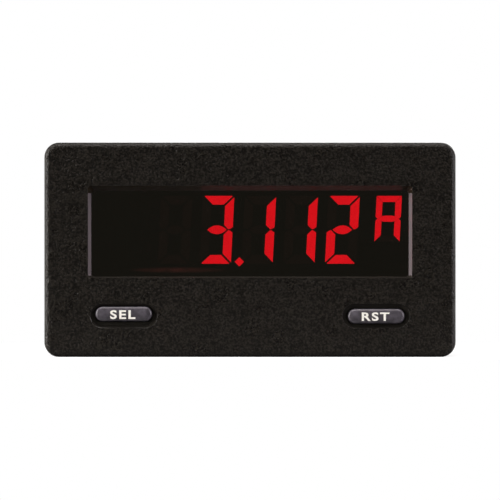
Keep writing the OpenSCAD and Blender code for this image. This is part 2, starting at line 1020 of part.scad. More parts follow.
module terminal_pocket() {
    block([-pocket_w / 2, -pocket_d / 2, -eps], [pocket_w / 2, pocket_d / 2, pocket_top]);
    cylinder(r = screw_r + 0.15, h = block_h);
    translate([0, 0, head_z])
        cylinder(r = screw_head_r + 0.2, h = block_h);
    // the channel of the contact's foot
    block(
        [-contact_w / 2 - fit, contact_y - clamp_y - fit, -eps],
        [contact_w / 2 + fit, eps - pocket_d / 2, contact_z + contact_t + fit]
    );
    // the wire's funnel and hole
    translate([0, depth - clamp_y, wire_z - main_z])
        rotate([90, 0, 0]) {
            translate([0, 0, -eps])
                cylinder(r = wire_r, h = block_wall + 2 * eps);
            translate([0, 0, -0.01])
                cylinder(r1 = wire_r + 0.61, r2 = wire_r, h = 0.6);
        }
}

module terminal_block() {
    chamfer = 0.8;
    color("#2c5f3d")
        difference() {
            across(-block_w / 2, block_w / 2)
                polygon([
                    [block_y, main_z], [depth, main_z], [depth, step_z - chamfer],
                    [depth - chamfer, step_z], [block_y + chamfer, step_z], [block_y, step_z - chamfer]
                ]);
            for (i = [1 : poles])
                at_pole(i)
                    terminal_pocket();
            // grooves that part the terminals on the top and at the back
            for (i = [1 : 1 : poles - 1])
                translate([pole_x(i) + pole_pitch / 2 - 0.2, 0, 0]) {
                    block([0, block_y - eps, step_z - 0.4], [0.4, depth + eps, step_z + eps]);
                    block([0, depth - 0.4, main_z - eps], [0.4, depth + eps, step_z + eps]);
                }
        }
}

module terminal_contacts() {
    bar_end = clamp_d / 2 - 0.2;
    foot = contact_y - clamp_y;
    color("#c8a24a")
        for (i = [1 : poles])
            at_pole(i) {
                block([-contact_w / 2, foot, contact_z], [contact_w / 2, bar_end, contact_z + contact_t]);
                block([-contact_w / 2, foot, 0.2], [contact_w / 2, foot + contact_foot, contact_z + eps]);
                block([-tail_w / 2, foot, -board_t - lead_below], [tail_w / 2, foot + contact_foot, 0.3]);
            }
}

// a cage that the screw pulls up, so that it presses the wire against the contact
module terminal_clamp(i) {
    color("#cfcfd2")
        if (i <= poles)
            at_pole(i)
                difference() {
                    block(
                        [-clamp_w / 2, -clamp_d / 2, clamp_z],
                        [clamp_w / 2, clamp_d / 2, clamp_z + clamp_h]
                    );
                    block(
                        [clamp_side - clamp_w / 2, -clamp_d, clamp_z + clamp_floor],
                        [clamp_w / 2 - clamp_side, clamp_d, clamp_z + clamp_h - clamp_top]
                    );
                    translate([0, 0, clamp_z + clamp_floor + eps])
                        cylinder(r = screw_r + run_fit, h = clamp_h);
                }
}

module terminal_screw(i) {
    tip = contact_z + contact_t + 0.15;
    color("#b9babd")
        if (i <= poles)
            at_pole(i)
                difference() {
                    union() {
                        translate([0, 0, tip])
                            cylinder(r = screw_r, h = head_z - tip + eps);
                        translate([0, 0, head_z])
                            cylinder(r = screw_head_r, h = screw_head_t);
                    }
                    translate([0, 0, head_z + screw_head_t])
                        cube([2 * screw_head_r + 1, slot_w, 1.2], center = true);
                }
}

// ---- rear cover ----

module below_step(gap) {
    top = step_z - gap;
    bottom = -body_h;
    translate([0, (top + bottom) / 2])
        square([2 * body_w, top - bottom], center = true);
}

module cover_outline() {
    rounded_rect(body_w, body_h, body_r);
}

module cover_inside() {
    rounded_rect(cavity_w, cavity_h, cavity_r);
}

module cover_lip() {
    lip_w = cavity_w - 2 * lip_play;
    lip_h = cavity_h - 2 * lip_play;
    slab(case_len - lip_len, case_len + eps)
        frame_2d(lip_w, lip_h, cavity_r, lip_w - 2 * lip_t, lip_h - 2 * lip_t, cavity_r);
    // a wedge on each side snaps into the case's slot
    for (side = [-1, 1])
        mirror([side < 0 ? 1 : 0, 0, 0])
            translate([0, 0, snap_z - snap_w / 2])
                linear_extrude(snap_w)
                    polygon([
                        [lip_w / 2 - eps, snap_y], [lip_w / 2 + 0.6, snap_y],
                        [body_w / 2 - 0.5, snap_y + snap_len - 0.2], [body_w / 2 - 0.5, snap_y + snap_len],
                        [lip_w / 2 - eps, snap_y + snap_len]
                    ]);
}

module cover_vents() {
    for (i = [1 : vent_count])
        translate([
            (i - (vent_count + 1) / 2) * vent_pitch,
            block_y - wall / 2,
            (step_z + body_h / 2) / 2
        ])
            cube([vent_w, wall + 1, vent_h], center = true);
}

module rear_cover() {
    lip_inner_w = cavity_w - 2 * (lip_play + lip_t);
    lip_inner_h = cavity_h - 2 * (lip_play + lip_t);
    bay_half = block_w / 2 + bay_play;
    color("#1f1d1b") {
        difference() {
            union() {
                slab(case_len, block_y)
                    cover_outline();
                slab(case_len, depth)
                    intersection() {
                        cover_outline();
                        below_step(0);
                    }
            }
            slab(case_len - eps, case_len + collar_t)
                rounded_rect(lip_inner_w, lip_inner_h, cavity_r);
            slab(case_len + collar_t - eps, block_y - wall)
                cover_inside();
            // the lower hollow, on both sides of the terminal bay and under it
            slab(case_len + collar_t, depth - wall)
                difference() {
                    intersection() {
                        cover_inside();
                        below_step(wall);
                    }
                    translate([-bay_half - bay_wall, main_z + 0.2])
                        square([2 * (bay_half + bay_wall), body_h]);
                }
            // the passage from the upper hollow to the terminals
            block([-bay_half, case_len + collar_t, main_z - fit], [bay_half, block_y + eps, step_z - wall]);
            block([-bay_half, block_y - fit, main_z - fit], [bay_half, depth + eps, step_z + eps]);
            cover_vents();
        }
        cover_lip();
    }
}

// ---- mounting ----

module panel_gasket() {
    color("#2d2d2d")
        slab(0, gasket_t)
            frame_2d(
                bezel_w - 2 * gasket_margin, bezel_h - 2 * gasket_margin, bezel_r - gasket_margin,
                shoulder_w + 2 * fit, body_h + 2 * fit, body_r
            );
}

module clip_section() {
    frame_2d(
        clip_w, clip_h, clip_r,
        body_w + 2 * clip_play, body_h + 2 * clip_play, body_r
    );
}

// a springy finger whose nose rides on the case's rack
module latch_finger() {
    finger_end = finger_front + finger_len;
    nose_x = body_w / 2 + nose_clear;
    translate([0, 0, -latch_w / 2])
        linear_extrude(latch_w)
            polygon([
                [finger_x, finger_front - eps], [finger_x + finger_t, finger_front - eps],
                [finger_x + finger_t, finger_end], [nose_x, finger_end],
                [nose_x, finger_end - 0.2], [finger_x, finger_end - nose_len]
            ]);
}

module mounting_clip() {
    window_end = finger_front + finger_len + finger_gap;
    color("#262422")
        difference() {
            union() {
                difference() {
                    union() {
                        slab(clip_y, clip_y + clip_ring)
                            clip_section();
                        slab(clip_y, clip_y + clip_cheek)
                            difference() {
                                clip_section();
                                square([body_w - 2 * cheek_wrap, 2 * clip_h], center = true);
                            }
                    }
                    for (side = [-1, 1], z = [-latch_z, latch_z])
                        translate([side * clip_w / 2, (finger_front + window_end) / 2, z])
                            cube([
                                clip_w - body_w + 1, window_end - finger_front, latch_w + 2 * finger_gap
                            ], center = true);
                }
                for (side = [0, 1], z = [-latch_z, latch_z])
                    mirror([side, 0, 0])
                        translate([0, 0, z])
                            latch_finger();
            }
            for (side = [-1, 1])
                translate([side * jack_x, 0, 0])
                    bar_y(jack_r + run_fit, clip_y - eps, clip_y + clip_cheek + eps);
        }
}

module jack_screw(side) {
    head_y = jack_tip + jack_len;
    color("#b9babd")
        translate([side * jack_x, 0, 0])
            difference() {
                union() {
                    bar_y(jack_r, jack_tip + 0.5, head_y + eps);
                    facing_front(jack_tip + 0.5)
                        cylinder(r1 = jack_r, r2 = jack_r - 0.4, h = 0.5);
                    bar_y(jack_head_r, head_y, head_y + jack_head_t);
                }
                translate([0, head_y + jack_head_t, 0])
                    cube([0.7, 1.6, 3 * jack_head_r], center = true);
            }
}

case();
window();
lcd_front_glass();
lcd_mask();
lcd_lit_segments();
lcd_dark_segments();
lcd_rear_glass();
lcd_contact_strips();
light_guide();
backlight_tray();
backlight_leds();
display_board();
at_key(-1, sel_key_z) switch_body();  // sel_switch
at_key(1, rst_key_z) switch_body();  // rst_switch
at_key(-1, sel_key_z) switch_plunger();  // sel_plunger
at_key(1, rst_key_z) switch_plunger();  // rst_plunger
at_key(-1, sel_key_z) key_button();  // sel_button
at_key(1, rst_key_z) key_button();  // rst_button
board_header();
header_pins();
main_board();
microcontroller();
converter();
capacitors();
regulator();
inductor();
shunt_resistor();
range_pins();
range_jumper();
terminal_block();
terminal_contacts();
terminal_clamp(1);  // terminal_clamp_1
terminal_clamp(2);  // terminal_clamp_2
terminal_clamp(3);  // terminal_clamp_3
terminal_clamp(4);  // terminal_clamp_4
terminal_clamp(5);  // terminal_clamp_5
terminal_clamp(6);  // terminal_clamp_6
terminal_screw(1);  // terminal_screw_1
terminal_screw(2);  // terminal_screw_2
terminal_screw(3);  // terminal_screw_3
terminal_screw(4);  // terminal_screw_4
terminal_screw(5);  // terminal_screw_5
terminal_screw(6);  // terminal_screw_6
rear_cover();
panel_gasket();
mounting_clip();
jack_screw(-1);  // jack_screw_left
jack_screw(1);  // jack_screw_right
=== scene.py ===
import json
import math

import bmesh
import bpy
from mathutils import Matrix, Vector


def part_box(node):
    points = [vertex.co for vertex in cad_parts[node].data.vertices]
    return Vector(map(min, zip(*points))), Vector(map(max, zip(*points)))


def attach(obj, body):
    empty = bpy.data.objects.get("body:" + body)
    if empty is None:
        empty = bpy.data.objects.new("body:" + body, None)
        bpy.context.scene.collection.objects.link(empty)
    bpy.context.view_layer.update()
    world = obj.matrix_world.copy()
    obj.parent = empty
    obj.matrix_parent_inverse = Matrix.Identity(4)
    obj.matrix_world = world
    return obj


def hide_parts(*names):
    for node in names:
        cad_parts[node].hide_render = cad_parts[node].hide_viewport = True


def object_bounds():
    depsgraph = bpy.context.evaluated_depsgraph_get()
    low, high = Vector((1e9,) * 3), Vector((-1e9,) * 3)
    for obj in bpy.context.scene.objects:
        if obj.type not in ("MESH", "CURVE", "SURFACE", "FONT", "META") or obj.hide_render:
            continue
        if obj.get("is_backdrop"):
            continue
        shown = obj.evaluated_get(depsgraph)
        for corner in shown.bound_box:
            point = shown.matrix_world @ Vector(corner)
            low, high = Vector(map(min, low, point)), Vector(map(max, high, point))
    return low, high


# Looks of the digital panel meter. Metres. The origin is the centre of the bezel's rear face,
# +X to the right seen from the front, +Y into the panel, +Z up.

MM = 0.001
X, Y, Z = range(3)
RIGHT, LEFT, BACK, UP = (1, 0, 0), (-1, 0, 0), (0, 1, 0), (0, 0, 1)
WHITE = (1, 1, 1, 1)
BLACK = (0, 0, 0, 1)

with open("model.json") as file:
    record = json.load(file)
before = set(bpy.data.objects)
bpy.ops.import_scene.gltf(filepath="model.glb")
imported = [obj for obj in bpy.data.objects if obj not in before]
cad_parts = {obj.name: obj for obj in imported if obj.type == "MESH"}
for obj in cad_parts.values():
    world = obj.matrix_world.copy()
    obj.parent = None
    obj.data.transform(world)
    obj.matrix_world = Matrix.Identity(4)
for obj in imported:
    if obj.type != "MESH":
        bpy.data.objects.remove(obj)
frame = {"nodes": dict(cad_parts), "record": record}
cad_low, cad_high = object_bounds()
nodes = frame["nodes"]
slot_of = {s["node"]: s["material_slot"] for s in frame["record"]["subparts"]}


# ---- materials ----

class Nodes:
    """A node tree, with short ways to add nodes to it and join them.

    A value may be another node's output, which is linked, or a constant, which is set."""

    def __init__(self, tree):
        self.tree = tree

    def feed(self, socket, value):
        if isinstance(value, bpy.types.NodeSocket):
            self.tree.links.new(value, socket)
        else:
            socket.default_value = value

    def add(self, kind, inputs=None, **properties):
        """A new node. Its properties are set first, because a Mix node's inputs follow them."""
        made = self.tree.nodes.new(kind)
        for key, value in properties.items():
            setattr(made, key, value)
        for key, value in (inputs or {}).items():
            self.feed(made.inputs[key], value)
        return made

    def math(self, operation, *terms):
        return self.add("ShaderNodeMath", dict(enumerate(terms)), operation=operation).outputs[0]

    def product(self, *terms):
        made = terms[0]
        for term in terms[1:]:
            made = self.math("MULTIPLY", made, term)
        return made

    def mapped(self, value, low, high, from_low=0.3, from_high=0.7):
        """A value's run from from_low to from_high, stretched to run from low to high.

        Noise mostly stays in the run that is taken when none is given."""
        return self.add("ShaderNodeMapRange", {
            "Value": value, "From Min": from_low, "From Max": from_high,
            "To Min": low, "To Max": high,
        }).outputs["Result"]

    def along(self, axis, place):
        return self.add("ShaderNodeSeparateXYZ", {0: place}).outputs[axis]

    def length(self, place):
        return self.add("ShaderNodeVectorMath", {0: place}, operation="LENGTH").outputs["Value"]

    def ramp(self, value, stops):
        """Colour that follows a value through stops, each a position and a colour."""
        made = self.add("ShaderNodeValToRGB", {"Fac": value})
        elements = made.color_ramp.elements
        while len(elements) < len(stops):
            elements.new(0.5)
        for element, (position, color) in zip(elements, stops):
            element.position = position
            element.color = (*color, 1)
        return made.outputs["Color"]

    def mix(self, factor, first, second, data_type="RGBA"):
        return self.add(
            "ShaderNodeMix", {"Factor": factor, "A": first, "B": second}, data_type=data_type
        ).outputs["Result"]

    def mix_shaders(self, factor, first, second):
        return self.add("ShaderNodeMixShader", {0: factor, 1: first, 2: second}).outputs[0]


class Surface(Nodes):
    """A Principled material, with helpers that add procedural detail to it."""

    def __init__(self, name, color, rough, metallic=0.0):
        self.material = bpy.data.materials.new(name)
        self.material.use_nodes = True
        super().__init__(self.material.node_tree)
        self.shader = self.tree.nodes["Principled BSDF"]
        self.color = color
        self.rough = rough
        self.set("Base Color", (*color, 1))
        self.set("Roughness", rough)
        self.set("Metallic", metallic)
        self.place = self.add("ShaderNodeTexCoord").outputs["Object"]

    def set(self, socket, value):
        self.feed(self.shader.inputs[socket], value)

    def share(self, amount):
        """The base colour times an amount."""
        return [min(1, c * amount) for c in self.color]

    def scaled(self, scale, shift=(0, 0, 0)):
        return self.add("ShaderNodeMapping", {
            "Vector": self.place, "Scale": scale, "Location": shift,
        }).outputs["Vector"]

    def noise(self, period, detail=2.0, stretch=(1, 1, 1)):
        """Noise whose features are about period metres across."""
        return self.add("ShaderNodeTexNoise", {
            "Vector": self.scaled(stretch), "Scale": 1 / period, "Detail": detail,
        }).outputs["Fac"]

    def tint(self, value, dark, light):
        """Colour that runs between two shares of the base colour."""
        stops = (0.35, self.share(dark)), (0.65, self.share(light))
        self.set("Base Color", self.ramp(value, stops))

    def vary_roughness(self, value, spread):
        low, high = max(0.02, self.rough - spread), min(1, self.rough + spread)
        self.set("Roughness", self.mapped(value, low, high))

    def bump(self, value, depth, strength=1.0):
        relief = self.add("ShaderNodeBump", {
            "Height": value, "Distance": depth, "Strength": strength,
        })
        self.set("Normal", relief.outputs["Normal"])

    def within(self, axis, low, high):
        """1 where the place along one axis lies between low and high, and 0 elsewhere."""
        off_middle = self.math("SUBTRACT", self.along(axis, self.place), (low + high) / 2)
        return self.math("LESS_THAN", self.math("ABSOLUTE", off_middle), (high - low) / 2)

    def outside(self, mask):
        return self.math("SUBTRACT", 1, mask)


def moulded(name, color, rough, grain, depth, spread=0.12):
    """Moulded plastic: fine grain in relief, and broad faint changes of tone.

    The grain's width and depth are in mm."""
    grain = grain * MM
    made = Surface(name, color, rough)
    fine = made.noise(grain, detail=3.0)
    made.tint(made.noise(grain * 3, detail=4.0), 1 - spread, 1 + spread)
    made.vary_roughness(made.noise(grain * 12), spread=0.05)
    made.bump(fine, depth * MM)
    return made


def metal(name, color, rough, stretch, depth=0.002):
    """Metal with drawn or rolled streaks, depth mm deep, and a slight patchiness."""
    made = Surface(name, color, rough, metallic=1.0)
    streaks = made.noise(0.4 * MM, detail=3.0, stretch=stretch)
    made.tint(made.noise(1.6 * MM, detail=4.0), dark=0.86, light=1.08)
    made.vary_roughness(streaks, spread=0.09)
    made.bump(streaks, depth * MM)
    return made


def glass(name, color, rough, ior):
    """Clear or tinted sheet with the faintest wipe marks in its polish."""
    made = Surface(name, color, rough)
    made.set("Transmission Weight", 1.0)
    made.set("IOR", ior)
    made.tint(made.noise(9 * MM), dark=0.97, light=1.0)
    wipes = made.noise(14 * MM, detail=3.0, stretch=(1, 1, 3))
    made.set("Roughness", made.mapped(wipes, rough, rough + 0.02))
    return made


def circuit(name, color):
    """Solder resist over copper: tracks stand up in it as paler, raised bands."""
    made = Surface(name, color, rough=0.32)
    tracks = made.add("ShaderNodeTexBrick", {
        "Vector": made.place, "Scale": 1 / (5 * MM), "Mortar Size": 0.035,
        "Color1": BLACK, "Color2": BLACK, "Mortar": WHITE,
    }).outputs["Fac"]
    tone = made.mapped(tracks, 0.3, 0.8, from_low=0, from_high=1)
    made.tint(tone, dark=0.8, light=1.7)
    made.bump(tracks, 0.03 * MM, strength=0.6)
    return made


def case_plastic():
    """Black plastic, coarsely grained outside.

    The window's slopes and the keys' dishes are polished. The slopes beside the window are far
    paler: a painted highlight. The slopes above and below it and the dishes get tones of their
    own, set to how bright they show under this light: painted light and shade."""
    made = Surface("case_plastic", (0.0078, 0.0068, 0.0055), rough=0.3)
    made.set("Specular IOR Level", 0.16)
    face = cad_low.y + 0.4 * MM
    behind_face, dish_floor = face + 0.04 * MM, face + 0.42 * MM
    window_low, window_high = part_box("window")
    half_width, keys_low, keys_high, top = 30 * MM, -14.7 * MM, -9.4 * MM, 12 * MM
    corner_low, corner_high = window_low.z + 1 * MM, window_high.z - 1.2 * MM
    side_inner, side_outer = 28.96 * MM, 29.52 * MM
    sill_low, sill_high = -5.3 * MM, -4.78 * MM

    sunk = made.within(Y, behind_face, 0)
    recess = made.product(sunk, made.within(X, -half_width, half_width))
    smooth = made.product(recess, made.within(Z, keys_low, top))
    slopes = made.product(recess, made.within(Y, behind_face, window_low.y + 0.02 * MM))
    # the slopes beside the window: far paler, a painted highlight of the side lamps on them
    beside = made.product(
        slopes, made.within(Z, corner_low, corner_high),
        made.outside(made.within(X, -side_inner, side_inner)),
        made.within(X, -side_outer, side_outer),
    )
    # the slope under the window: paler, a painted highlight line
    painted_sill_highlight = made.product(slopes, made.within(Z, sill_low, sill_high))
    # the slope over the window: its own warmer tone, painted light
    painted_top_slope_tone = made.product(slopes, made.within(Z, corner_high, top))
    key_band = made.within(Z, keys_low, keys_high)
    # the keys' dishes: walls and floors paler than the base colour, painted light against the
    # keys' shade
    painted_dish_walls = made.product(sunk, key_band)
    painted_dish_floors = made.product(made.within(Y, dish_floor, 0), key_band)

    # the grain's tone runs from 0.6 to 2.9 times the base colour: partly the grain's own tone,
    # partly painted glints of its facets
    grain = made.noise(0.34 * MM, detail=3.0)
    tone = made.ramp(grain, ((0.40, made.share(0.6)), (0.66, made.share(2.9))))
    for mask, color in (
        (smooth, made.share(0.9)),
        (painted_dish_walls, (0.0130, 0.0117, 0.0096)),
        (painted_dish_floors, (0.019, 0.0175, 0.0145)),
        # painted highlight on the slopes beside the window
        (beside, (0.0886, 0.0756, 0.0800)),
        (painted_sill_highlight, (0.0160, 0.0143, 0.0121)),
        (painted_top_slope_tone, (0.0140, 0.0105, 0.0065)),
    ):
        tone = made.mix(mask, tone, (*color, 1))
    made.set("Base Color", tone)
    grained, polished = made.mapped(made.noise(4 * MM, detail=3.0), 0.26, 0.33), 0.12
    made.set("Roughness", made.mix(smooth, grained, polished, data_type="FLOAT"))
    made.bump(made.product(grain, made.outside(smooth)), 0.20 * MM)
    return made


def lit_segments():
    """The display's red light, faintly uneven."""
    made = Surface("lcd_red", (0.02, 0.001, 0.001), rough=0.4)
    stops = (0, (0.93, 0.0082, 0.017)), (1, (1.0, 0.0155, 0.026))
    made.set("Emission Color", made.ramp(made.noise(2 * MM), stops))
    made.set("Emission Strength", 1.2)
    return made


def edge_leak(made, centre, reach, around, color):
    """A reddish streak of painted glow in the black field, fading out over reach from centre.

    centre and reach are along X and Z."""
    shift = (-centre[0] / reach[0], 0, -centre[1] / reach[1])
    away = made.length(made.scaled((1 / reach[0], 0, 1 / reach[1]), shift))
    faded = made.mapped(away, 1.0, 0.0, from_low=0.2, from_high=1.0)
    patchy = made.mapped(made.noise(1.5 * MM), 0.45, 1.0)
    streak = made.mix(made.product(faded, patchy), (*around, 1), (*color, 1))
    made.set("Emission Color", streak)


# colour, roughness, width and depth of the grain in mm, and the spread of the tone
PLASTICS = {
    "clip_plastic": ((0.013, 0.0118, 0.0105), 0.42, 0.3, 0.02),
    "lcd_black": ((0.012, 0.020, 0.015), 0.6, 0.4, 0.002),
    "lcd_dark": ((0.024, 0.027, 0.019), 0.6, 0.4, 0.002),
    "elastomer": ((0.24, 0.13, 0.15), 0.8, 0.2, 0.02, 0.2),
    "guide_acrylic": ((0.82, 0.62, 0.62), 0.12, 2, 0.004, 0.04),
    "white_plastic": ((0.78, 0.76, 0.72), 0.5, 0.4, 0.01, 0.03),
    "led_resin": ((0.62, 0.06, 0.04), 0.15, 0.5, 0.003, 0.1),
    "switch_plastic": ((0.02, 0.02, 0.022), 0.5, 0.25, 0.01),
    "plunger_plastic": ((0.46, 0.43, 0.37), 0.45, 0.3, 0.008, 0.05),
    "key_plastic": ((0.062, 0.056, 0.067), 0.4, 0.26, 0.014, 0.3),
    "chip_epoxy": ((0.018, 0.018, 0.019), 0.55, 0.2, 0.008),
    "capacitor_sleeve": ((0.02, 0.035, 0.16), 0.28, 0.8, 0.006),
    "jumper_plastic": ((0.02, 0.07, 0.3), 0.35, 0.4, 0.004),
    "terminal_plastic": ((0.018, 0.105, 0.038), 0.42, 0.35, 0.012),
    "gasket_rubber": ((0.022, 0.022, 0.023), 0.85, 0.35, 0.07, 0.25),
}
# colour, roughness, how the streaks are squeezed along each axis, and their depth in mm
METALS = {
    "gold_pins": ((0.78, 0.54, 0.2), 0.25, (1, 1, 8)),
    "winding": ((0.42, 0.16, 0.07), 0.35, (1, 1, 12), 0.02),
    "shunt_metal": ((0.62, 0.42, 0.27), 0.32, (6, 1, 1)),
    "contact_brass": ((0.76, 0.58, 0.27), 0.28, (1, 6, 1)),
    "clamp_steel": ((0.72, 0.72, 0.73), 0.3, (5, 1, 1)),
    "screw_steel": ((0.66, 0.66, 0.67), 0.27, (6, 6, 1)),
}
SURFACES = {
    "case_plastic": case_plastic(),
    "window_tint": glass("window_tint", (0.62, 0.42, 0.42), rough=0.0, ior=1.49),
    "clear_glass": glass("clear_glass", (0.93, 0.95, 0.94), rough=0.03, ior=1.5),
    "lcd_red": lit_segments(),
    "circuit_board": circuit("circuit_board", (0.012, 0.085, 0.03)),
}
SURFACES.update({name: moulded(name, *row) for name, row in PLASTICS.items()})
SURFACES.update({name: metal(name, *row) for name, row in METALS.items()})
label_ink = moulded("label_ink", (0.92, 0.91, 0.84), 0.5, 0.12, 0.002, 0.05)
SURFACES["key_plastic"].set("Specular IOR Level", 0.35)

# the dark parts of the display glow faintly: painted light, for the lamp light that the pane
# keeps from them
PAINTED_GLOWS = {"lcd_black": (0.0110, 0.0146, 0.0100), "lcd_dark": (0.0142, 0.0158, 0.0110)}
for dull, painted_glow in PAINTED_GLOWS.items():
    SURFACES[dull].set("Specular IOR Level", 0.05)
    SURFACES[dull].set("Emission Color", (*painted_glow, 1))
    SURFACES[dull].set("Emission Strength", 1.0)
# and a stronger painted red glow in one streak of the black field
edge_leak(
    SURFACES["lcd_black"], centre=(-13 * MM, -3.7 * MM), reach=(9.5 * MM, 0.6 * MM),
    around=PAINTED_GLOWS["lcd_black"], color=(0.052, 0.028, 0.021),
)


def dress(piece, slot, surface=None):
    piece.data.materials.clear()
    piece.data.materials.append((surface or SURFACES[slot]).material)


for name, piece in nodes.items():
    dress(piece, slot_of[name])


# ---- added pieces ----

def made_piece(name, mesh, body, slot, surface=None, stands_for=None):
    piece = bpy.data.objects.new(name, mesh)
    bpy.context.scene.collection.objects.link(piece)
    dress(piece, slot, surface)
    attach(piece, body)
    if stands_for:
        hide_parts(stands_for)


def lettering(name, words, centre, size, right, depth, weight, body, slot, surface):
    """Printed or raised words, upright, in a box of that width and height.

    They read along right, and reach depth out from their centre and as far into the face."""
    curve = bpy.data.curves.new(name, "FONT")
    curve.body = words
    curve.space_character = 1.22
    curve.offset = weight
    curve.extrude = 0.5
    curve.resolution_u = 6
    text = bpy.data.objects.new(name + "_curve", curve)
    bpy.context.scene.collection.objects.link(text)
    shown = text.evaluated_get(bpy.context.evaluated_depsgraph_get())
    mesh = bpy.data.meshes.new_from_object(shown)
    mesh.name = name
    bpy.data.objects.remove(text)
    bpy.data.curves.remove(curve)
    low = Vector([min(v.co[i] for v in mesh.vertices) for i in range(3)])
    high = Vector([max(v.co[i] for v in mesh.vertices) for i in range(3)])
    middle, span = (low + high) / 2, high - low
    width, height = size
    right, up = Vector(right), Vector(UP)
    out = right.cross(up)
    for vertex in mesh.vertices:
        at = vertex.co - middle
        vertex.co = (
            Vector(centre)
            + right * (at.x / span.x * width)
            + up * (at.y / span.y * height)
            + out * ((at.z / span.z) * 2 * depth)
        )
    made_piece(name, mesh, body, slot, surface)


class Shell:
    """A mesh in the making, of closed skins that may run into each other."""

    SHARP = math.radians(35)

    def __init__(self):
        self.points = []
        self.faces = []

    def loft(self, rings):
        """Adds a closed skin over rings that have as many points each, with flat ends."""
        first, count = len(self.points), len(rings[0])
        last = first + (len(rings) - 1) * count
        for ring in rings:
            self.points.extend(ring)
        for low in range(first, last, count):
            high = low + count
            for i in range(count):
                j = (i + 1) % count
                self.faces.append((low + i, low + j, high + j, high + i))
        self.faces.append(tuple(reversed(range(first, first + count))))
        self.faces.append(tuple(range(last, last + count)))

    def mesh(self, name):
        """The mesh, smooth all over but for its sharp edges."""
        mesh = bpy.data.meshes.new(name)
        mesh.from_pydata([tuple(v) for v in self.points], [], self.faces)
        shaped = bmesh.new()
        shaped.from_mesh(mesh)
        bmesh.ops.recalc_face_normals(shaped, faces=shaped.faces)
        for face in shaped.faces:
            face.smooth = True
        for edge in shaped.edges:
            if len(edge.link_faces) == 2 and edge.calc_face_angle(0) > self.SHARP:
                edge.smooth = False
        shaped.to_mesh(mesh)
        shaped.free()
        return mesh


def pill_ring(centre, width, height, y, steps=18):
    """Points round a pill that faces the front."""
    ring = []
    for side, start in ((1, -90), (-1, 90)):
        for k in range(steps + 1):
            turn = math.radians(start + 180 * k / steps)
            ring.append(Vector((
                centre.x + side * (width - height) / 2 + height / 2 * math.cos(turn),
                y,
                centre.z + height / 2 * math.sin(turn),
            )))
    return ring


def key_cap(node, body):
    """A key with a softly crowned cap in place of the flat one, on its flange and stem.

    The flange starts at y 0, behind the bezel, and the cap stands on it."""
    flange_extra_w, flange_extra_h, flange_t = 1.94 * MM, 1.57 * MM, 0.8 * MM
    stem_w, stem_h, stem_from = 2.41 * MM, 2.4 * MM, 0.7 * MM
    rim, crown, crown_reach, steps = 0.5 * MM, 0.10 * MM, 0.97, 8
    low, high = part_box(node)
    centre = (low + high) / 2
    flange_w, flange_h = high.x - low.x, high.z - low.z
    width, height = flange_w - flange_extra_w, flange_h - flange_extra_h
    flat = height / 2 - rim

    def ring(inset, y):
        return pill_ring(centre, width - 2 * inset, height - 2 * inset, y)

    rings = [ring(0, 0)]
    for k in range(steps + 1):
        turn = math.radians(90 * k / steps)
        inset = rim * (1 - math.cos(turn))
        rings.append(ring(inset, low.y + crown + rim * (1 - math.sin(turn))))
    for k in range(1, steps + 1):
        rise = 1 - k / steps
        inset = rim + flat * crown_reach * k / steps
        rings.append(ring(inset, low.y + crown * rise * rise))
    shell = Shell()
    shell.loft(rings)
    shell.loft([pill_ring(centre, flange_w, flange_h, y) for y in (0, flange_t)])
    shell.loft([pill_ring(centre, stem_w, stem_h, y) for y in (stem_from, high.y)])
    name = body + "_cap"
    made_piece(name, shell.mesh(name), body, "key_plastic", stands_for=node)


def key_label(node, body, words, shift, size):
    """A label near the middle of a key, a little proud of the crown and sunk in it."""
    depth, behind = 0.06 * MM, 0.04 * MM
    low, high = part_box(node)
    centre = (
        (low.x + high.x) / 2 + shift[0], low.y + behind, (low.z + high.z) / 2 + shift[1]
    )
    lettering(
        body + "_label", words, centre, size, RIGHT, depth, weight=0.028,
        body=body, slot="key_plastic", surface=label_ink,
    )


